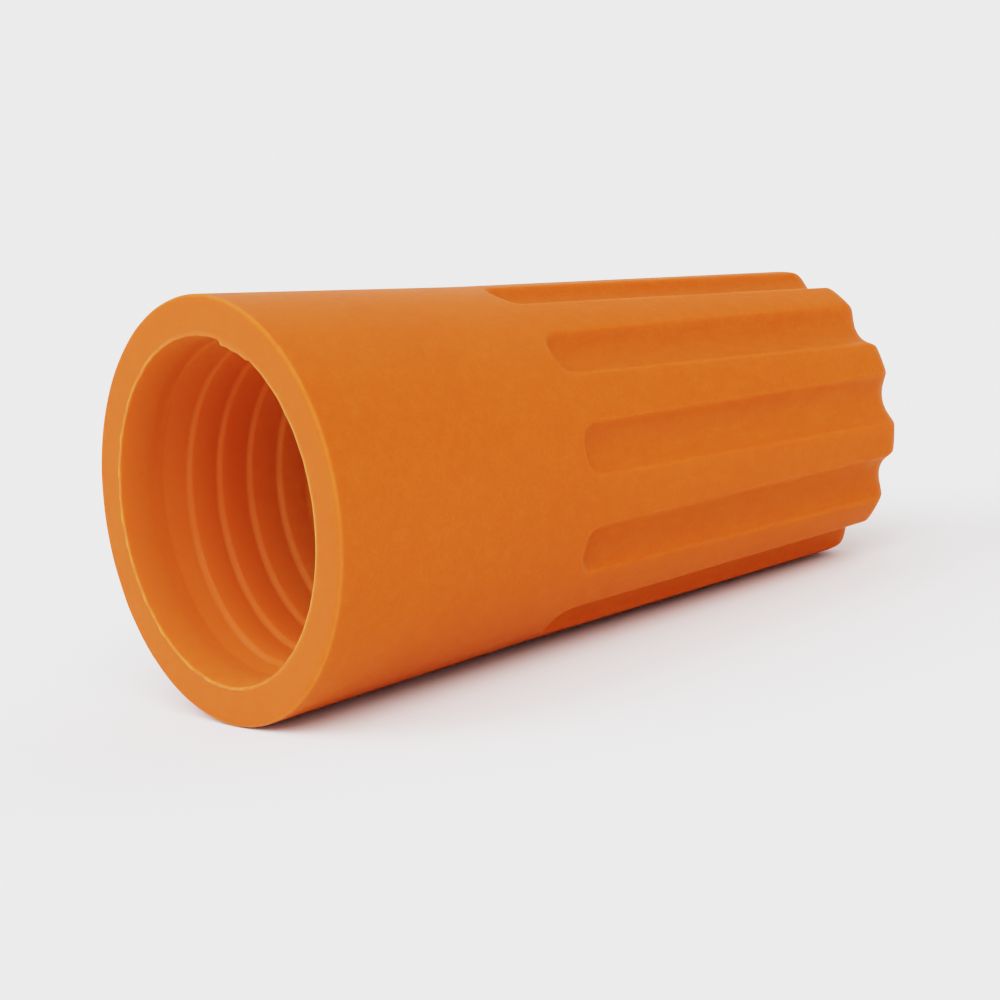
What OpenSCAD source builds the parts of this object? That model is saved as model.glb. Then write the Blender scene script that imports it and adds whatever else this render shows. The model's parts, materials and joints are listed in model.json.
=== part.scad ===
// Twist wire connector: a tapered, fluted plastic shell, closed at one end,
// with a conical coil of square steel wire seated deep in its bore.
//
// Frame: the connector lies on a table. +Z is up and z = 0 is the table top.
// The origin is below the middle of the connector. The mouth faces -X, and
// the axis dips towards the closed end, because the shell tapers.
// Each sub-part is drawn upright about its own axis, from the mouth rim at
// z = 0 to the closed end, and lay_down() then puts it on the table.
// Around the axis, angle 0 is the line that faces the table.

/* [Shell] */
// Diameter across the mouth rim, before its edge is rounded
mouth_d = 11.8; // [11.2:0.1:13]
// Length from the rim to the closed end
shell_l = 21.4; // [21:0.1:24]
// Length of the plain skirt, from the rim to the start of the grip taper
skirt_l = 8.6; // [7.6:0.1:8.8]
// Taper of the skirt's side, in degrees
skirt_taper = 4.93; // [4.2:0.01:5.2]
// Taper of the fluted grip's side, in degrees
grip_taper = 3.95; // [3.4:0.05:4.2]
// Rounding of the rim's outer edge
rim_round = 0.22; // [0.1:0.01:0.3]
// Rounding of the closed end's edge
end_round = 0.85; // [0.6:0.05:1.2]

/* [Grip flutes] */
// Number of flutes around the grip
flute_count = 11; // [9:1:12]
// Diameter of the round-nosed cutter that each flute follows
flute_d = 1.64; // [1.3:0.02:1.8]
// Depth of a flute below the grip's surface
flute_depth = 0.42; // [0.3:0.01:0.5]
// Distance from the rim to where the flutes reach full depth
flute_start = 9.4; // [9.2:0.1:11]

/* [Bore] */
// Diameter of the bore's sharp edge at the rim
bore_edge_d = 9.62; // [9.5:0.01:9.9]
// Diameter of the plain entry, where the wires go in
entry_d = 9.3; // [9:0.01:9.4]
// Depth of the bevel between the rim and the entry
bevel_l = 0.25; // [0.15:0.01:0.4]
// Depth at which the plain entry ends and the threaded funnel begins
entry_end = 1.3; // [1.1:0.05:1.6]
// Depth at which the funnel ends and the coil's seat begins
funnel_end = 7.3; // [7:0.1:7.6]
// Diameter of the bore where the funnel ends
funnel_d = 7.1; // [7:0.05:7.4]
// Depth of the whole bore
bore_l = 19; // [18.8:0.1:19.2]
// Diameter at the bottom of the bore
bore_bottom_d = 5; // [4.8:0.1:5.4]

/* [Moulded thread] */
// Advance of the thread in one turn
thread_pitch = 0.9; // [0.84:0.01:0.94]
// Height of the ridge above the funnel's wall
thread_h = 0.16; // [0.14:0.01:0.26]
// Width of the ridge at the wall
thread_root_w = 0.56; // [0.4:0.02:0.66]
// Width of the ridge's crest
thread_crest_w = 0.14; // [0.08:0.02:0.2]
// Number of turns of the ridge
thread_turns = 6; // [4:0.5:6]

/* [Coil] */
// Side of the square wire, which stands on its edge
wire_w = 0.8; // [0.7:0.02:0.82]
// Advance of the coil in one turn
coil_pitch = 1.2; // [1.18:0.01:1.3]
// Number of turns of the coil
coil_turns = 8.75; // [7:0.25:8.75]
// Gap between the coil's outer edge and the bore
coil_gap = 0.03; // [0.02:0.01:0.06]

/* [Hidden] */

$fn = 96;
// Chords in a quarter round, and sections in one turn of each helix
ARC_STEPS = 8;
THREAD_STEPS = 36;
COIL_STEPS = 30;
// How far a cutter runs past the face that it cuts
CLEAR = 1;
// How deep the ridge's root and its faded ends are set into the wall
BURIED = 0.16;
FADED = 0.05;
// The thread's first crest: its depth, its angle, and its run in and out
THREAD_Z = 1.08;
THREAD_ANGLE = 86;
THREAD_FADE = 60;

mouth_r = mouth_d / 2;
grip_r = mouth_r - skirt_l * tan(skirt_taper);
flute_r = flute_d / 2;
entry_r = entry_d / 2;
funnel_r = funnel_d / 2;
bore_bottom_r = bore_bottom_d / 2;
wire_half = wire_w / sqrt(2);
coil_start = funnel_end + wire_half;

// Centres of the two edge roundings, as [radius, height] in the profile
rim_centre = [mouth_r - rim_round * (tan(skirt_taper) + 1 / cos(skirt_taper)), rim_round];
end_centre = [grip_side(shell_l - end_round) - end_round / cos(grip_taper), shell_l - end_round];

// The shell rests on its rim and on the two lands beside its lowest flute,
// so it leans by the slope of the line that touches both roundings. A land
// touches at its edge, which is a little way round from the lowest line.
flute_half_w = sqrt(flute_depth * (2 * flute_r - flute_depth));
land_share = cos(asin(flute_half_w / grip_side(shell_l - end_round)));
rest_run = end_centre[1] - rim_centre[1];
rest_drop = rim_centre[0] - end_centre[0] * land_share;
rest_span = sqrt(rest_run * rest_run + rest_drop * rest_drop);
rest_bend = asin((end_round * land_share - rim_round) / rest_span);
lean = atan2(rest_drop, rest_run) - rest_bend;

axis_z = rim_centre[0] * cos(lean) + rim_centre[1] * sin(lean) + rim_round;
low_x = rim_centre[1] * cos(lean) - rim_centre[0] * sin(lean) - rim_round;
high_x = end_centre[1] * cos(lean) + end_centre[0] * sin(lean) + end_round;
mouth_x = -(low_x + high_x) / 2;

// Radius of the grip's side at a height, and of the bore's two cones
function grip_side(z) = grip_r - (z - skirt_l) * tan(grip_taper);
function between(z, z0, r0, z1, r1) = r0 + (r1 - r0) * (z - z0) / (z1 - z0);
function funnel_side(z) = between(z, entry_end, entry_r, funnel_end, funnel_r);
function seat_side(z) = between(z, funnel_end, funnel_r, bore_l, bore_bottom_r);

// Points of an arc in the profile, from one angle to another
function arc(centre, r, from, to) =
    [for (i = [0:ARC_STEPS]) centre + r * dir(from + (to - from) * i / ARC_STEPS)];
function dir(a) = [cos(a), sin(a)];

// A profile point [radius, height] turned to an angle around the axis
function turned(p, a) = [p[0] * cos(a), p[0] * sin(a), p[1]];

// Side faces between four-cornered sections that follow one another, and
// the two end faces that close them
function strip_faces(count) =
    [for (i = [0:count - 2], k = [0:3], half = [0, 1])
        let (a = 4 * i + k, b = 4 * i + (k + 1) % 4)
        half == 0 ? [a, b, a + 4] : [b, b + 4, a + 4]];
function end_faces(count) = [[3, 2, 1, 0], [for (k = [0:3]) 4 * (count - 1) + k]];

// How much of the ridge's height is there at an angle along the thread
function ridge_share(a) =
    min(1, a / THREAD_FADE, (thread_turns * 360 - a) / THREAD_FADE);

// One section of the moulded ridge, at an angle along the thread
function ridge_section(a) =
    let (
        z = THREAD_Z + thread_pitch * a / 360,
        wall = min(entry_r, funnel_side(z)),
        crest = wall + FADED - (thread_h + FADED) * ridge_share(a),
        root_half = thread_root_w / 2,
        crest_half = thread_crest_w / 2
    )
    [
        turned([wall + BURIED, z - root_half], THREAD_ANGLE + a),
        turned([wall + BURIED, z + root_half], THREAD_ANGLE + a),
        turned([crest, z + crest_half], THREAD_ANGLE + a),
        turned([crest, z - crest_half], THREAD_ANGLE + a)
    ];

// One section of the coil's wire, at an angle along the coil
function wire_section(a) =
    let (
        z = coil_start + coil_pitch * a / 360,
        middle = seat_side(z) - coil_gap - wire_half
    )
    [
        turned([middle + wire_half, z], a),
        turned([middle, z + wire_half], a),
        turned([middle - wire_half, z], a),
        turned([middle, z - wire_half], a)
    ];

// Lays an upright sub-part on the table
module lay_down() {
    translate([mouth_x, 0, axis_z])
        rotate([0, 90 + lean, 0])
            children();
}

// The shell's solid outer form
module shell_body() {
    rotate_extrude()
        polygon(concat(
            [[0, 0]],
            arc(rim_centre, rim_round, -90, skirt_taper),
            [[grip_r, skirt_l]],
            arc(end_centre, end_round, grip_taper, 90),
            [[0, shell_l]]
        ));
}

// A round-nosed cutter that runs from a flute's start past the closed end
module flute_cutter() {
    run = shell_l - flute_start + CLEAR;
    translate([grip_side(flute_start) - flute_depth + flute_r, 0, flute_start])
        rotate([0, -grip_taper, 0])
            rotate_extrude()
                polygon(concat(
                    arc([0, 0], flute_r, -90, 0),
                    [[flute_r, run], [0, run]]
                ));
}

// All the flutes, the first of them facing the table
module flutes() {
    for (i = [0:flute_count - 1])
        rotate([0, 0, i * 360 / flute_count])
            flute_cutter();
}

// The hollow: bevel, plain entry, funnel and the coil's seat
module bore() {
    rotate_extrude()
        polygon([
            [0, -CLEAR],
            [bore_edge_d / 2, -CLEAR],
            [bore_edge_d / 2, 0],
            [entry_r, bevel_l],
            [entry_r, entry_end],
            [funnel_r, funnel_end],
            [bore_bottom_r, bore_l],
            [0, bore_l]
        ]);
}

// The right-hand ridge moulded on the funnel's wall
module moulded_thread() {
    count = thread_turns * THREAD_STEPS + 1;
    points = [for (i = [0:count - 1]) each ridge_section(i * 360 / THREAD_STEPS)];
    polyhedron(points, concat(strip_faces(count), end_faces(count)), convexity = 10);
}

module insulating_shell() {
    color([0.87, 0.45, 0.13])
        lay_down() {
            difference() {
                shell_body();
                flutes();
                bore();
            }
            moulded_thread();
        }
}

module wire_spring() {
    count = coil_turns * COIL_STEPS + 1;
    points = [for (i = [0:floor(count) - 1]) each wire_section(i * 360 / COIL_STEPS)];
    color([0.72, 0.73, 0.74])
        lay_down()
            polyhedron(
                points,
                concat(strip_faces(floor(count)), end_faces(floor(count))),
                convexity = 10
            );
}

insulating_shell();
wire_spring();
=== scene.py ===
"""Looks of the twist wire connector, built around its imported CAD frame.

The shell and the coil are swept about the connector's own axis, which the
record's mounts give. Lengths are millimetres along that axis from the rim
("depth") or out from it ("radius"), and angles are radians around it from
the side that faces the table, unless a name says otherwise.
"""

import json
import math

import bpy
import numpy as np
from mathutils import Matrix, Vector


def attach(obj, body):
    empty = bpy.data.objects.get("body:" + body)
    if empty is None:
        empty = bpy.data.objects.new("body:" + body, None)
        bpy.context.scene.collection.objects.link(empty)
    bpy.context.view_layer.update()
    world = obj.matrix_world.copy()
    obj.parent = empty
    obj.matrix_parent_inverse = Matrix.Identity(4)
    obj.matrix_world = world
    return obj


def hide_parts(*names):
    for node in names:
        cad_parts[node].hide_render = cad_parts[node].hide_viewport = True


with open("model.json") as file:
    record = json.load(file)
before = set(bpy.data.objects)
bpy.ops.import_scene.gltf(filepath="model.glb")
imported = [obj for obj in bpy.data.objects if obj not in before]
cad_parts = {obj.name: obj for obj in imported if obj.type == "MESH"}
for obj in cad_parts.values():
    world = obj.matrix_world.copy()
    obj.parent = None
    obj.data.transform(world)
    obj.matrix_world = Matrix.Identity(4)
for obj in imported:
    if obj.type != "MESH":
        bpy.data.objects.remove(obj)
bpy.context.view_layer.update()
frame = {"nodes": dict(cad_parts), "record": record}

# ---------------------------------------------------------------- the frame

MM = 0.001
FULL_TURN = 2 * math.pi

# The rim face's mount lies on one side of the rim, and the axis at y = 0
mounts = {m["name"]: m for m in frame["record"]["mounts"]}
inward = -Vector(mounts["rim_face"]["axis"])
mouth = Vector(mounts["rim_face"]["pos_m"])
mouth.y = 0.0
down = Vector((inward.z, 0.0, -inward.x))
across = Vector((0.0, 1.0, 0.0))


def depths_and_radii(node):
    """Depths and radii of a CAD node's points about the connector's axis."""
    points = np.array([v.co for v in frame["nodes"][node].data.vertices]) - np.array(mouth)
    depth = points @ np.array(inward)
    radius = np.linalg.norm(points - np.outer(depth, inward), axis=1)
    return depth / MM, radius / MM


shell_depths, shell_radii = depths_and_radii("insulating_shell")
coil_depths, _ = depths_and_radii("wire_spring")

# ----------------------------------------------------------- shell, outside

SHELL_L = shell_depths.max()
SKIRT_L = 8.6
SKIRT_TAPER = math.radians(4.93)
GRIP_TAPER = math.radians(3.95)
TAPER_BLEND = 0.01
RIM_ROUND = 0.11
RIM_UNEVEN = 0.06
RIM_FACE_INSET = 1.5 * RIM_ROUND
END_ROUND = 0.7

MOUTH_R = shell_radii.max() + RIM_ROUND * (1 - math.sin(SKIRT_TAPER)) * math.tan(SKIRT_TAPER)
GRIP_R = MOUTH_R - SKIRT_L * math.tan(SKIRT_TAPER)

# The flutes, as a round-nosed cutter leaves them: each starts in a nose a
# little squarer than an ellipse, and is full from FLUTE_FULL on
FLUTES = 11
FLUTE_R = 0.82
FLUTE_DEPTH = 0.42
FLUTE_HALF_W = math.sqrt(FLUTE_DEPTH * (2 * FLUTE_R - FLUTE_DEPTH))
FLUTE_FULL = 9.37
FLUTE_NOSE = 0.55
NOSE_SQUARENESS = 2.4

# How far the flutes' edges round over, along the grip and at the closed end,
# and how steeply the flutes die away across the end's face
FLUTE_EDGE = 0.12
END_EDGE = 0.34
FACE_FADE_POWER = 3

# The gate mark in the middle of the closed end, a shallow dish and its nub,
# and half the width of the step around each
DISH_R = 1.0
DISH_DEPTH = 0.18
DISH_STEP = 0.1
NUB_R = 0.34
NUB_H = 0.12
NUB_STEP = 0.05

# ------------------------------------------------------------ shell, inside

ENTRY_R = mounts["wire_entry"]["dims"]["r_mm"]
ENTRY_END = 1.3
FUNNEL_END = 7.3
FUNNEL_R = 3.55
BORE_L = 19.0
BORE_BOTTOM_R = 2.5
BORE_ROUND = 0.4

# The curved lead-in, which stops a last share of its length short of the
# rim's face
BEVEL_W = 0.12
BEVEL_L = 0.85
BEVEL_CURVE = 1.8
BEVEL_LAST = 0.04
EDGE_R = ENTRY_R + BEVEL_W
EDGE_UNEVEN = 0.006

# The moulded ridge: it takes THREAD_FADE turns to rise and to die out, loses
# a share of its height by the sides, and can be seen down to THREAD_SEEN
THREAD_PITCH = 0.905
THREAD_H = 0.11
THREAD_START = 1.2
THREAD_ANGLE = math.radians(86)
THREAD_TURNS = 6
THREAD_FADE = 0.3
THREAD_UNEVEN = 0.27
THREAD_SEEN = 5.2
FRONT_FLANK = 0.17
BACK_CURVE = 1.8

# The thin line of flash on the rim's inner edge: its size, the gap between
# it and the rim's face, and the angles between which it stands and fades
FLASH_W = 0.09
FLASH_H = 0.05
FLASH_GAP = 0.03
FLASH_FROM = math.radians(-35)
FLASH_TO = math.radians(172)
FLASH_FADE = 0.5

# Its ragged height, as shares of the full one, and how deep its nicks go
FLASH_MEAN = 0.7
FLASH_RAGGED = 0.35
FLASH_LEAST = 0.1
FLASH_MOST = 1.3
NICK_DEPTH = 0.7

# The film of flash that overhangs the bevel near the top
FILM_W = 0.12
FILM_TAPER = 0.6
FILM_FROM = math.radians(193)
FILM_TO = math.radians(209)

# Random waves around the axis: a seed, and the fewest and most waves a turn
RIM_WAVES = (11, 5, 30)
EDGE_WAVES = (5, 18, 60)
RAGGED_WAVES = (3, 15, 60)
NICK_WAVES = (8, 25, 45)

# How high the nicks' waves stand where a nick begins, and where it is full
NICK_BEGINS = 1.0
NICK_FULL = 1.6

# How pale the plastic is, as shares: the thin flash, with a painted highlight
# along the rim's inner edge, and painted highlights on the rim's rounding and
# the bevel; and the depths between which the bore's wall turns pale
FLASH_PALE_AND_HIGHLIGHT = 0.75
RIM_HIGHLIGHT_PALE = 0.4
# The bevel is painted paler as a highlight on the lead-in
BEVEL_HIGHLIGHT_PALE = 0.1
DEEP_PALE_FROM = 3.0
DEEP_PALE_FULL = 6.0

# --------------------------------------------------------------------- coil

WIRE_W = 0.8
WIRE_HALF = WIRE_W / math.sqrt(2)
WIRE_CORNER = 0.1
COIL_PITCH = 1.2
COIL_GAP = 0.03
COIL_START = coil_depths.min() + WIRE_HALF
COIL_TURNS = (coil_depths.max() - WIRE_HALF - COIL_START) / COIL_PITCH

# ----------------------------------------------------------- mesh densities
# Columns of points run along the axis, and rows of points run around it.

COLUMNS_PER_FLUTE = 28
COLUMN_CROWDING = 0.5

FLOOR_SHARES = (0.25, 0.5, 0.75)
BORE_ROUND_ROWS = 6
BEVEL_ROWS = 9
FLASH_ROWS = 8
RIM_FACE_SHARES = (0, 0.1, 0.5, 0.9, 1)
RIM_ROWS = 9
END_ROWS = 14

# Depths of the rows on the bore's wall: sparse along the seat, and close
# together where the thread is in sight
BORE_DEPTHS = np.concatenate([
    np.linspace(BORE_L - BORE_ROUND - 0.2, FUNNEL_END + 0.1, 10),
    np.linspace(FUNNEL_END, THREAD_SEEN, 30),
    np.linspace(THREAD_SEEN - 0.03, BEVEL_L + 0.03, 140),
])

# Depths of the rows on the outer wall: two behind the rim, the skirt's, close
# ones over the starts of the flutes, and the grip's
OUTER_DEPTHS = np.concatenate([
    [0.19, 0.25],
    np.linspace(0.5, 8.2, 12),
    np.linspace(8.4, 9.6, 38),
    np.linspace(9.8, SHELL_L - END_ROUND - 0.05, 20),
])

# Radii of the rows on the closed end's face, close together over the steps
# of the gate mark
FACE_RADII = np.concatenate([
    [3.1, 2.6, 1.8, 1.2],
    np.linspace(DISH_R + DISH_STEP, DISH_R - DISH_STEP, 5),
    [0.8, 0.5],
    [NUB_R + NUB_STEP, NUB_R + 0.02, NUB_R - 0.01, NUB_R - NUB_STEP],
    [0.2, 0.1],
])

WIRE_STEPS_PER_TURN = 56
CORNER_STEPS = 4


# ------------------------------------------------------------ small helpers


def place(depth, radius, angle):
    """Points in the row frame, in metres."""
    depth, radius, angle = np.broadcast_arrays(depth, radius, angle)
    return np.array(mouth) + MM * (
        depth[..., None] * np.array(inward)
        + (radius * np.cos(angle))[..., None] * np.array(down)
        + (radius * np.sin(angle))[..., None] * np.array(across)
    )


def ease(x, start, end):
    """From 0 at start to 1 at end, level at both."""
    t = np.clip((x - start) / (end - start), 0, 1)
    return t * t * (3 - 2 * t)


def keep_positive(x, blend):
    """x where it is above zero and 0 below, rounded off over a blend."""
    rounded = (np.clip(x, -blend, blend) + blend) ** 2 / (4 * blend)
    return np.where(x > blend, x, rounded)


def line(x, x0, y0, x1, y1):
    """The straight line through two points, at x."""
    return y0 + (y1 - y0) * (x - x0) / (x1 - x0)


def wobble(angle, seed, fewest, most):
    """A smooth, closed random wave around the axis, about -1 to 1."""
    rng = np.random.default_rng(seed)
    counts = np.arange(fewest, most + 1)
    heights = rng.normal(size=len(counts))
    phases = rng.uniform(0, FULL_TURN, len(counts))
    waves = heights * np.sin(np.outer(angle, counts) + phases)
    return waves.sum(axis=1) / np.sqrt((heights**2).sum())


# ------------------------------------------------- surfaces of the shell


def wall_radius(depth):
    """The outer wall without its flutes: the skirt's taper, then the grip's."""
    skirt = MOUTH_R - depth * math.tan(SKIRT_TAPER)
    grip = GRIP_R - (depth - SKIRT_L) * math.tan(GRIP_TAPER)
    return skirt + keep_positive(grip - skirt, TAPER_BLEND)


def flute_cut(depth, angle, edge=FLUTE_EDGE):
    """How far the nearest flute cuts below the wall, its edges rounded."""
    spacing = FULL_TURN / FLUTES
    off_line = (angle + spacing / 2) % spacing - spacing / 2
    aside = np.abs(wall_radius(depth) * np.sin(off_line)) / FLUTE_HALF_W
    short = np.maximum(0, FLUTE_FULL - depth) / FLUTE_NOSE
    reach = (aside**NOSE_SQUARENESS + short**NOSE_SQUARENESS) ** (1 / NOSE_SQUARENESS)
    chord = np.minimum(reach * FLUTE_HALF_W, FLUTE_R)
    cut = np.sqrt(FLUTE_R**2 - chord**2) - (FLUTE_R - FLUTE_DEPTH)
    return keep_positive(cut, edge)


def ridge_share(rise):
    """The thread's section, in turns from the crest: a short, steep side
    towards the mouth, and a long, rounded back behind the crest."""
    front = ease(rise, -FRONT_FLANK, 0)
    back = 1 - np.clip(rise / (1 - FRONT_FLANK), 0, 1) ** BACK_CURVE
    return np.where(rise < 0, front, back)


def thread_height(depth, angle):
    """Height of the moulded ridge above the bore's wall, where it stands
    tallest on the lower side."""
    turn = ((angle - THREAD_ANGLE) / FULL_TURN) % 1
    along = (depth - THREAD_START) / THREAD_PITCH - turn
    height = 0
    for ridge in range(-1, THREAD_TURNS + 1):
        travelled = ridge + turn
        grown = ease(travelled, 0, THREAD_FADE) * ease(THREAD_TURNS - travelled, 0, THREAD_FADE)
        height = np.maximum(height, grown * ridge_share(along - ridge))
    return THREAD_H * height * (1 - THREAD_UNEVEN * (1 - np.cos(angle)))


def bore_radius(depth, angle):
    """The bore's wall: plain entry, threaded funnel and the coil's seat."""
    funnel = line(depth, ENTRY_END, ENTRY_R, FUNNEL_END, FUNNEL_R)
    seat = line(depth, FUNNEL_END, FUNNEL_R, BORE_L, BORE_BOTTOM_R)
    wall = np.minimum(ENTRY_R, np.where(depth < FUNNEL_END, funnel, seat))
    return wall - thread_height(depth, angle)


def film_width(angle):
    """How far the film overhangs: it starts abruptly and narrows to its end."""
    share = (angle - FILM_FROM) / (FILM_TO - FILM_FROM)
    return np.where((share > 0) & (share < 1), FILM_W * (1 - FILM_TAPER * share), 0)


def inner_edge(angle):
    """Radius of the rim's inner edge, which is a little ragged."""
    return EDGE_R + EDGE_UNEVEN * wobble(angle, *EDGE_WAVES) - film_width(angle)


def flash_strength(angle):
    """How tall the flash stands along the rim's inner edge, with its nicks."""
    turned = (angle - FLASH_FROM) % FULL_TURN
    length = FLASH_TO - FLASH_FROM
    there = ease(turned, 0, FLASH_FADE) * (1 - ease(turned, length - FLASH_FADE, length))
    ragged = FLASH_MEAN + FLASH_RAGGED * wobble(angle, *RAGGED_WAVES)
    nicked = 1 - NICK_DEPTH * ease(wobble(angle, *NICK_WAVES), NICK_BEGINS, NICK_FULL)
    return there * np.clip(ragged * nicked, FLASH_LEAST, FLASH_MOST)


def end_depth(radius):
    """The closed end's face, with its gate mark."""
    dish = 1 - ease(radius, DISH_R - DISH_STEP, DISH_R + DISH_STEP)
    nub = 1 - ease(radius, NUB_R - NUB_STEP, NUB_R + NUB_STEP)
    return SHELL_L - DISH_DEPTH * dish + NUB_H * nub


# --------------------------------------------------- the shell's sections
# Each section returns rows of (depth, radius), for all the columns at once.


def bore_floor(angle):
    """From near the middle of the bore's bottom to its wall."""
    wall = bore_radius(BORE_L - BORE_ROUND, angle)
    rows = [(BORE_L, wall * share) for share in FLOOR_SHARES]
    for turn in np.linspace(0, math.pi / 2, BORE_ROUND_ROWS):
        inset = BORE_ROUND * (1 - math.sin(turn))
        rows.append((BORE_L - BORE_ROUND * (1 - math.cos(turn)), wall - inset))
    return rows


def bore_wall(angle):
    """From the bottom of the bore up to the bevel."""
    return [(depth, bore_radius(depth, angle)) for depth in BORE_DEPTHS]


def bevel(angle):
    """The curved lead-in, from the bore's wall to the rim's inner edge."""
    edge = inner_edge(angle)
    rows = []
    for share in np.linspace(1.0, BEVEL_LAST, BEVEL_ROWS):
        rows.append((BEVEL_L * share, ENTRY_R + (edge - ENTRY_R) * (1 - share) ** BEVEL_CURVE))
    return rows


def flash(angle):
    """The bead of flash that stands on the rim's inner edge."""
    edge = inner_edge(angle)
    strength = flash_strength(angle)
    rows = []
    for turn in np.linspace(0, math.pi, FLASH_ROWS):
        across_bead = edge + FLASH_W * (1 - math.cos(turn)) / 2
        rows.append((-FLASH_H * strength * math.sin(turn), across_bead))
    return rows


def rim_face(angle):
    """From beside the flash out to the rim's outer rounding."""
    inner = EDGE_R + FLASH_W + FLASH_GAP
    outer = MOUTH_R - RIM_FACE_INSET
    return [(0, inner + (outer - inner) * share + 0 * angle) for share in RIM_FACE_SHARES]


def rim_rounding(angle):
    """The rim's outer edge, whose rounding varies a little."""
    size = RIM_ROUND * (1 + RIM_UNEVEN * wobble(angle, *RIM_WAVES))
    middle = MOUTH_R - size * (math.tan(SKIRT_TAPER) + 1 / math.cos(SKIRT_TAPER))
    turns = np.linspace(-math.pi / 2, SKIRT_TAPER, RIM_ROWS)
    return [(size * (1 + math.sin(t)), middle + size * math.cos(t)) for t in turns]


def outer_wall(angle):
    """The skirt, the starts of the flutes, and the grip."""
    return [(depth, wall_radius(depth) - flute_cut(depth, angle)) for depth in OUTER_DEPTHS]


def end_rounding(angle):
    """The closed end's edge, where the whole fluted outline rounds over, and
    the flutes' edges soften."""
    base = SHELL_L - END_ROUND
    rows = []
    for turn in np.linspace(0, math.pi / 2, END_ROWS):
        edge = FLUTE_EDGE + (END_EDGE - FLUTE_EDGE) * math.sin(turn)
        outline = wall_radius(base) - flute_cut(base, angle, edge)
        inset = END_ROUND * (1 - math.cos(turn))
        rows.append((base + END_ROUND * math.sin(turn), outline - inset))
    return rows


def end_face(angle):
    """From the rounding towards the middle of the closed end, with the
    flutes' outline fading out."""
    _, outline = end_rounding(angle)[-1]
    middle = outline.mean()
    rows = []
    for radius in FACE_RADII:
        fading = (radius / middle) ** FACE_FADE_POWER
        rows.append((end_depth(radius), radius + (outline - middle) * fading))
    return rows


# --------------------------------------------- how pale the sections are


def bore_deep_paleness(depth, angle):
    """The bore's wall is paler deeper inside."""
    return ease(depth, DEEP_PALE_FROM, DEEP_PALE_FULL) + 0 * angle


def flash_pale_and_highlight(depth, angle):
    """Flash is thin, and so paler where it stands; the paleness is also a painted highlight
    along the rim's inner edge.
    """
    return FLASH_PALE_AND_HIGHLIGHT * flash_strength(angle)


def rim_highlight(depth, angle):
    """The rim's outer edge is painted paler in the middle of its rounding: a painted highlight
    line.
    """
    return RIM_HIGHLIGHT_PALE * np.sin(math.pi * np.clip(depth / RIM_ROUND, 0, 1))


# Each section, how pale it is (as a share, or as a function of depth and
# angle), and how grained its skin is
SECTIONS = [
    (bore_floor, 1.0, 0.0),
    (bore_wall, bore_deep_paleness, 0.0),
    # The bevel's paleness is a painted highlight on the lead-in
    (bevel, BEVEL_HIGHLIGHT_PALE, 0.1),
    (flash, flash_pale_and_highlight, 0.2),
    (rim_face, 0.0, 0.7),
    (rim_rounding, rim_highlight, 0.8),
    (outer_wall, 0.0, 1.0),
    (end_rounding, 0.0, 1.0),
    (end_face, 0.0, 1.0),
]


# ------------------------------------------------------------- mesh makers


def mesh_object(name, points, faces, attributes):
    """A smooth-shaded mesh object with point attributes, at the origin."""
    mesh = bpy.data.meshes.new(name)
    mesh.from_pydata(points.tolist(), [], faces)
    for label, values in attributes.items():
        kind, field = ("FLOAT", "value") if values.ndim == 1 else ("FLOAT_VECTOR", "vector")
        made = mesh.attributes.new(label, kind, "POINT")
        made.data.foreach_set(field, values.astype(np.float32).ravel())
    mesh.polygons.foreach_set("use_smooth", [True] * len(mesh.polygons))
    mesh.validate()
    thing = bpy.data.objects.new(name, mesh)
    bpy.context.scene.collection.objects.link(thing)
    return thing


def column_angles():
    """Angles of the columns, crowded where the flutes' edges run."""
    share = np.arange(FLUTES * COLUMNS_PER_FLUTE) / COLUMNS_PER_FLUTE
    crowded = COLUMN_CROWDING * np.sin(4 * math.pi * share) / (4 * math.pi)
    return (share + crowded) * FULL_TURN / FLUTES


def ring_faces(rings, columns):
    """Quads between rings of points that follow one another."""
    faces = []
    for ring in range(rings - 1):
        low = ring * columns
        for k in range(columns):
            after = (k + 1) % columns
            faces.append((low + k, low + after, low + columns + after, low + columns + k))
    return faces


def fan_faces(middle, ring_start, columns, in_order):
    """Triangles from a middle point to a ring, wound in the ring's order or
    against it."""
    faces = []
    for k in range(columns):
        pair = (ring_start + k, ring_start + (k + 1) % columns)
        faces.append((middle, *pair) if in_order else (middle, *pair[::-1]))
    return faces


def build_shell():
    """The insulating shell: one closed surface, from the bore's bottom out
    over the rim and along the outside to the middle of the closed end."""
    angle = column_angles()
    rows, pale, grained = [], [], []
    for section, paleness, graining in SECTIONS:
        for depth, radius in section(angle):
            rows.append(place(depth, radius, angle))
            share = paleness(depth, angle) if callable(paleness) else paleness
            pale.append(np.full(len(angle), share))
            grained.append(np.full(len(angle), graining))
    poles = [place(BORE_L, 0.0, 0.0), place(end_depth(0.0), 0.0, 0.0)]
    points = np.concatenate([*rows, np.array(poles)])
    count, columns = len(rows), len(angle)
    faces = ring_faces(count, columns)
    faces += fan_faces(count * columns, 0, columns, False)
    faces += fan_faces(count * columns + 1, (count - 1) * columns, columns, True)
    attributes = {
        "pale": np.append(np.concatenate(pale), [0, 0]),
        "grained": np.append(np.concatenate(grained), [0, 1]),
    }
    return mesh_object("shell", points, faces, attributes)


def wire_outline():
    """The square wire's section, standing on its edge with rounded corners,
    as (outward, along) offsets from the wire's middle."""
    corner_middle = WIRE_HALF - WIRE_CORNER * math.sqrt(2)
    outline = []
    for corner in range(4):
        facing = corner * math.pi / 2
        for turn in np.linspace(-math.pi / 4, math.pi / 4, CORNER_STEPS):
            outline.append((
                corner_middle * math.cos(facing) + WIRE_CORNER * math.cos(facing + turn),
                corner_middle * math.sin(facing) + WIRE_CORNER * math.sin(facing + turn),
            ))
    return np.array(outline)


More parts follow.
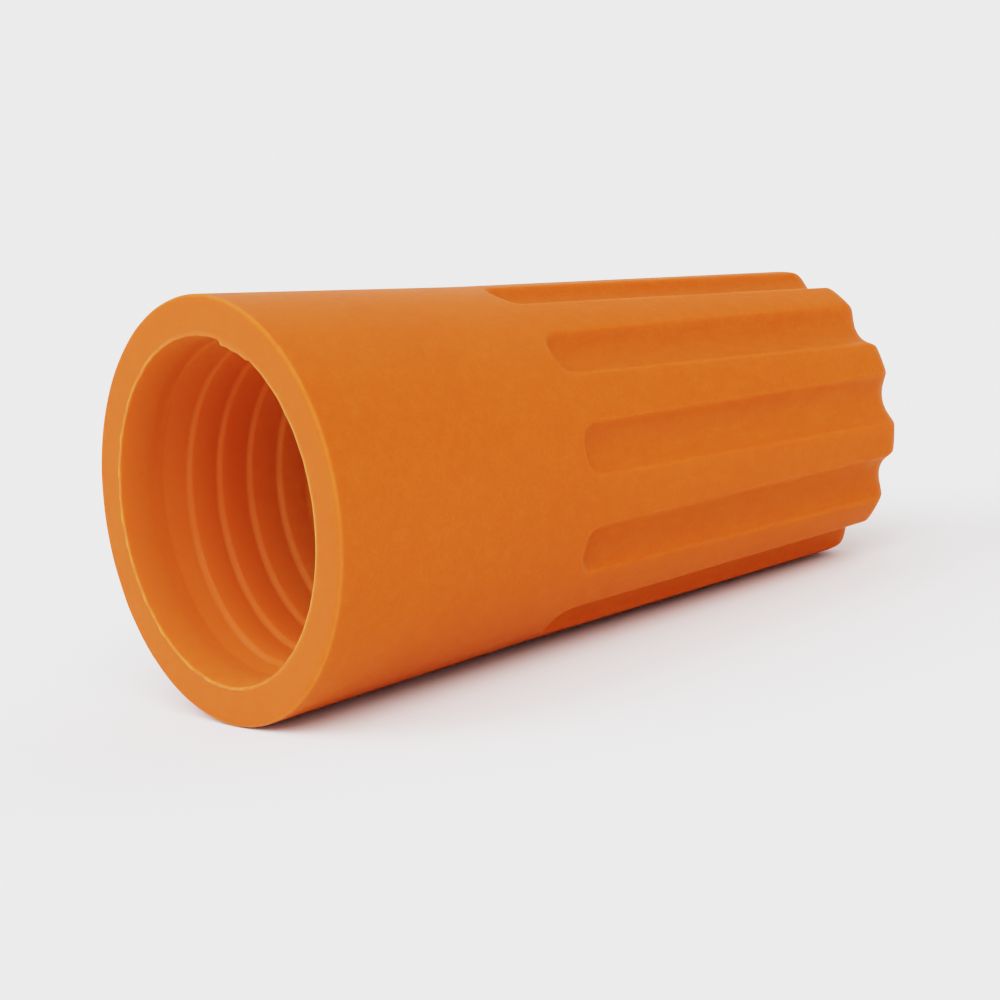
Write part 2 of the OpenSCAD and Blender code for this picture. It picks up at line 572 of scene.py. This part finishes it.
def build_coil():
    """The conical coil of square wire, with plain cut ends."""
    outline = wire_outline()
    steps = round(COIL_TURNS * WIRE_STEPS_PER_TURN)
    travelled = np.linspace(0, COIL_TURNS, steps + 1)[:, None]
    depth = COIL_START + COIL_PITCH * travelled
    seat = line(depth, FUNNEL_END, FUNNEL_R, BORE_L, BORE_BOTTOM_R)
    middle = seat - COIL_GAP - WIRE_HALF
    rings = place(depth + outline[:, 1], middle + outline[:, 0], travelled * FULL_TURN)
    columns = len(outline)
    faces = ring_faces(steps + 1, columns)
    faces.append(tuple(range(columns))[::-1])
    faces.append(tuple(steps * columns + k for k in range(columns)))
    run = np.empty(rings.shape)
    run[..., 0] = travelled * FULL_TURN * middle * MM
    run[..., 1:] = outline * MM
    points = rings.reshape(-1, 3)
    return mesh_object("coil_spring", points, faces, {"wire_run": run.reshape(-1, 3)})


# ---------------------------------------------------------- material nodes

# Where nearly all of a noise texture's values lie
NOISE_SPAN = (0.3, 0.7)


def new_material(name):
    """A material with an empty Principled shader, and its node tree."""
    material = bpy.data.materials.new(name)
    material.use_nodes = True
    tree = material.node_tree
    shader = next(n for n in tree.nodes if n.type == "BSDF_PRINCIPLED")
    return material, tree, shader


def set_inputs(node, **values):
    """Sets a node's inputs, named as in Blender with _ for each space."""
    for name, value in values.items():
        node.inputs[name.replace("_", " ")].default_value = value


def attribute(tree, name, output):
    """A mesh attribute's value or vector."""
    made = tree.nodes.new("ShaderNodeAttribute")
    made.attribute_name = name
    return made.outputs[output]


def noise(tree, coordinates, scale, detail=2.0, roughness=0.5, distortion=0.0):
    """A noise texture's value. The scale is per metre."""
    made = tree.nodes.new("ShaderNodeTexNoise")
    set_inputs(made, Scale=scale, Detail=detail, Roughness=roughness, Distortion=distortion)
    tree.links.new(coordinates, made.inputs["Vector"])
    return made.outputs["Fac"]


def remap(tree, value, span, new_span):
    """A value taken from one span to another, clamped."""
    made = tree.nodes.new("ShaderNodeMapRange")
    set_inputs(made, From_Min=span[0], From_Max=span[1], To_Min=new_span[0], To_Max=new_span[1])
    tree.links.new(value, made.inputs["Value"])
    return made.outputs["Result"]


def calculate(tree, operation, first, second):
    """Two values put together by one operation."""
    made = tree.nodes.new("ShaderNodeMath")
    made.operation = operation
    tree.links.new(first, made.inputs[0])
    tree.links.new(second, made.inputs[1])
    return made.outputs["Value"]


def blend_colours(tree, share, first, second):
    """A mix of two colours, each a socket or a colour."""
    made = tree.nodes.new("ShaderNodeMix")
    made.data_type = "RGBA"
    tree.links.new(share, made.inputs[0])
    for slot, colour in ((made.inputs[6], first), (made.inputs[7], second)):
        if isinstance(colour, tuple):
            slot.default_value = (*colour, 1.0)
        else:
            tree.links.new(colour, slot)
    return made.outputs[2]


def bump(tree, shader, height, distance, under=None):
    """Bumps of a height, in metres, over those that lie under them."""
    made = tree.nodes.new("ShaderNodeBump")
    set_inputs(made, Distance=distance)
    tree.links.new(height, made.inputs["Height"])
    if under is not None:
        tree.links.new(under, made.inputs["Normal"])
    tree.links.new(made.outputs["Normal"], shader.inputs["Normal"])
    return made.outputs["Normal"]


# ----------------------------------------------------------- orange plastic

ORANGE = (0.475, 0.087, 0.0122)
ORANGE_DEEP = (0.458, 0.080, 0.0108)
ORANGE_LIGHT = (0.51, 0.103, 0.0160)
ORANGE_DARK = (0.40, 0.064, 0.0090)
# Paler orange: thin flash, painted highlights on the rim's edges and bevel, and the deeper bore
ORANGE_PALE = (0.60, 0.20, 0.048)
# A brighter, less red copy of the orange for the bore: painted light that lifts the bore's shade
ORANGE_BORE_BRIGHTENED = (0.52, 0.106, 0.024)

# Noise scales per metre, from the wide clouds in the colour to the fine grain
CLOUD_SCALE = 210
WAVE_SCALE = 900
MOTTLE_SCALE = 2600
GRAIN_SCALE = 9500

# The span of the mottling over which light specks show, that of the grain
# over which dark pits fade, and how strong they and the paleness get
SPECK_SPAN = (0.42, 0.75)
SPECK_SHARES = (0, 0.5)
PIT_SPAN = (0.35, 0.65)
PIT_SHARES = (0.35, 0)
PALE_SHARES = (0.5, 0.75)

# Roughness of the skin in the bore and outside, and what the grain adds
SKIN_ROUGHNESS = (0.34, 0.44)
GRAIN_ROUGHNESS = (0.02, 0.12)

# Heights of the bumps, the share of the grain that the bore and the outside
# have, and how far light scatters in the plastic
WAVE_HEIGHT_M = 0.000012
GRAIN_HEIGHT_M = 0.00001
GRAIN_SHARES = (0.35, 1)
SCATTER_M = 0.0008


def plastic_colour(tree, coords, mottle, grain, grained):
    """Clouded and mottled orange with dark pits in the grain outside, a
    brighter copy of the orange in the bore as painted light in its shade, and
    paler orange over both: the thin flash, painted highlights on the rim's
    edges and bevel, and the deeper bore."""
    cloud = noise(tree, coords, CLOUD_SCALE, detail=3.0, distortion=0.6)
    clouded = blend_colours(tree, remap(tree, cloud, NOISE_SPAN, (0, 1)), ORANGE_DEEP, ORANGE)
    speckled = remap(tree, mottle, SPECK_SPAN, SPECK_SHARES)
    mottled = blend_colours(tree, speckled, clouded, ORANGE_LIGHT)
    pitted = remap(tree, grain, PIT_SPAN, PIT_SHARES)
    outside = blend_colours(tree, pitted, mottled, ORANGE_DARK)
    # The bore takes the brighter copy of the orange, as painted light in its shade
    sided = blend_colours(tree, grained, ORANGE_BORE_BRIGHTENED, outside)
    # Paler orange over both, much of it a painted highlight on the rim's edges and bevel
    patchy = remap(tree, mottle, NOISE_SPAN, PALE_SHARES)
    paled = calculate(tree, "MULTIPLY", attribute(tree, "pale", "Fac"), patchy)
    return blend_colours(tree, paled, sided, ORANGE_PALE)


def orange_plastic():
    """Satin moulded polypropylene: slightly cloudy, with a fine spark-eroded
    grain on the outside and a smoother, glossier bore."""
    material, tree, shader = new_material("orange_plastic")
    coords = tree.nodes.new("ShaderNodeTexCoord").outputs["Object"]
    grained = attribute(tree, "grained", "Fac")
    wave = noise(tree, coords, WAVE_SCALE, detail=1.0)
    mottle = noise(tree, coords, MOTTLE_SCALE, detail=3.0, roughness=0.6)
    grain = noise(tree, coords, GRAIN_SCALE, roughness=0.65)

    colour = plastic_colour(tree, coords, mottle, grain, grained)
    tree.links.new(colour, shader.inputs["Base Color"])

    satin = remap(tree, grain, NOISE_SPAN, GRAIN_ROUGHNESS)
    skin = remap(tree, grained, (0, 1), SKIN_ROUGHNESS)
    tree.links.new(calculate(tree, "ADD", satin, skin), shader.inputs["Roughness"])

    set_inputs(
        shader,
        IOR=1.49,
        Specular_IOR_Level=0.06,
        Subsurface_Weight=0.6,
        Subsurface_Radius=(1.0, 0.45, 0.2),
        Subsurface_Scale=SCATTER_M,
    )
    waves = bump(tree, shader, wave, WAVE_HEIGHT_M)
    grain_height = calculate(tree, "MULTIPLY", grain, remap(tree, grained, (0, 1), GRAIN_SHARES))
    bump(tree, shader, grain_height, GRAIN_HEIGHT_M, waves)
    return material


# ------------------------------------------------------------ plated steel

STEEL_BRIGHT = (0.74, 0.75, 0.76)
STEEL_DULL = (0.60, 0.61, 0.60)

# Noise scales per metre, how the drawing lines are stretched along the wire,
# and how high they stand
DRAWN_SCALE = 14000
DRAWN_STRETCH = (0.006, 1, 1)
DRAWN_HEIGHT_M = 0.0000015
BLOOM_SCALE = 1400

# Spans of the plating's bloom over which the steel turns dull, then rough
DULL_SPAN = (0.35, 0.7)
ROUGH_SPAN = (0.4, 0.7)

# Roughness across the drawing lines, and what the bloom adds
DRAWN_ROUGHNESS = (0.24, 0.34)
BLOOM_ROUGHNESS = (0, 0.12)


def plated_steel():
    """Bright zinc-plated wire, with the drawing die's lines along it."""
    material, tree, shader = new_material("plated_steel")
    run = attribute(tree, "wire_run", "Vector")
    squeeze = tree.nodes.new("ShaderNodeMapping")
    set_inputs(squeeze, Scale=DRAWN_STRETCH)
    tree.links.new(run, squeeze.inputs["Vector"])
    drawn = noise(tree, squeeze.outputs["Vector"], DRAWN_SCALE)
    bloom = noise(tree, run, BLOOM_SCALE, detail=3.0)

    dulled = remap(tree, bloom, DULL_SPAN, (0, 1))
    colour = blend_colours(tree, dulled, STEEL_BRIGHT, STEEL_DULL)
    tree.links.new(colour, shader.inputs["Base Color"])

    lined = remap(tree, drawn, NOISE_SPAN, DRAWN_ROUGHNESS)
    bloomed = remap(tree, bloom, ROUGH_SPAN, BLOOM_ROUGHNESS)
    tree.links.new(calculate(tree, "ADD", lined, bloomed), shader.inputs["Roughness"])
    set_inputs(shader, Metallic=1.0)
    bump(tree, shader, drawn, DRAWN_HEIGHT_M)
    return material


# ------------------------------------------------- stage, light and camera

FLOOR_HALF_M = 3.0
FLOOR_COLOUR = (0.95, 0.95, 0.95, 1.0)

WORLD_STRENGTH = 1.1
LIGHT_SPREAD = math.radians(40)

# Each light's name, azimuth and elevation in degrees, and strength
LIGHTS = [
    ("front_light", -36, 45, 1.95),
    ("left_light", -125, 45, 1.27),
]

VIEW_AZIMUTH = math.radians(-36.150)
VIEW_ELEVATION = math.radians(10.459)
VIEW_ROLL = math.radians(-8.125)
VIEW_DISTANCE_M = 0.1001
VIEW_AIM_M = Vector((-0.000900, 0.000319, 0.004005))
NEAREST_M = 0.001
LENS_MM = 126.0
SENSOR_MM = 36.0


def pale_floor():
    """The plain floor's material."""
    material, _, shader = new_material("pale_floor")
    set_inputs(shader, Base_Color=FLOOR_COLOUR, Roughness=0.9, Specular_IOR_Level=0.1)
    return material


def build_floor():
    """A plain pale floor under the object."""
    signs = ((-1, -1), (1, -1), (1, 1), (-1, 1))
    corners = [(x * FLOOR_HALF_M, y * FLOOR_HALF_M, 0.0) for x, y in signs]
    floor = mesh_object("floor", np.array(corners), [(0, 1, 2, 3)], {})
    floor.data.materials.append(pale_floor())


def back_vector(azimuth, elevation):
    """From the aim towards a viewer at an azimuth and elevation."""
    return Vector((
        math.sin(azimuth) * math.cos(elevation),
        -math.cos(azimuth) * math.cos(elevation),
        math.sin(elevation),
    ))


def build_light(name, azimuth, elevation, strength):
    """A wide soft light from far away, so that the floor is lit evenly."""
    data = bpy.data.lights.new(name, "SUN")
    data.angle = LIGHT_SPREAD
    data.energy = strength
    light = bpy.data.objects.new(name, data)
    towards = back_vector(math.radians(azimuth), math.radians(elevation))
    light.rotation_mode = "QUATERNION"
    light.rotation_quaternion = towards.to_track_quat("Z", "Y")
    bpy.context.scene.collection.objects.link(light)


def build_world():
    """An even white surround."""
    world = bpy.data.worlds.new("surround")
    world.use_nodes = True
    background = world.node_tree.nodes["Background"]
    set_inputs(background, Color=(1.0, 1.0, 1.0, 1.0), Strength=WORLD_STRENGTH)
    bpy.context.scene.world = world


def build_camera():
    """The camera at the photograph's viewing angle."""
    back = back_vector(VIEW_AZIMUTH, VIEW_ELEVATION)
    level = Vector((0, 0, 1)).cross(back).normalized()
    upright = back.cross(level)
    right = math.cos(VIEW_ROLL) * level + math.sin(VIEW_ROLL) * upright
    up = back.cross(right)
    data = bpy.data.cameras.new("camera")
    data.lens = LENS_MM
    data.sensor_width = SENSOR_MM
    data.clip_start = NEAREST_M
    camera = bpy.data.objects.new("camera", data)
    turn = Matrix((right, up, back)).transposed().to_4x4()
    camera.matrix_world = Matrix.Translation(VIEW_AIM_M + back * VIEW_DISTANCE_M) @ turn
    bpy.context.scene.collection.objects.link(camera)
    bpy.context.scene.camera = camera


# --------------------------------------------------------------- the scene


def fit_out(piece, material, node):
    """Gives a piece its material, and has it stand for its CAD node."""
    piece.data.materials.append(material)
    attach(piece, "root")
    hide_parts(node)


fit_out(build_shell(), orange_plastic(), "insulating_shell")
fit_out(build_coil(), plated_steel(), "wire_spring")

build_floor()
build_world()
for light_settings in LIGHTS:
    build_light(*light_settings)
build_camera()
bpy.context.scene.view_settings.view_transform = "Filmic"
bpy.context.scene.view_settings.look = "High Contrast"
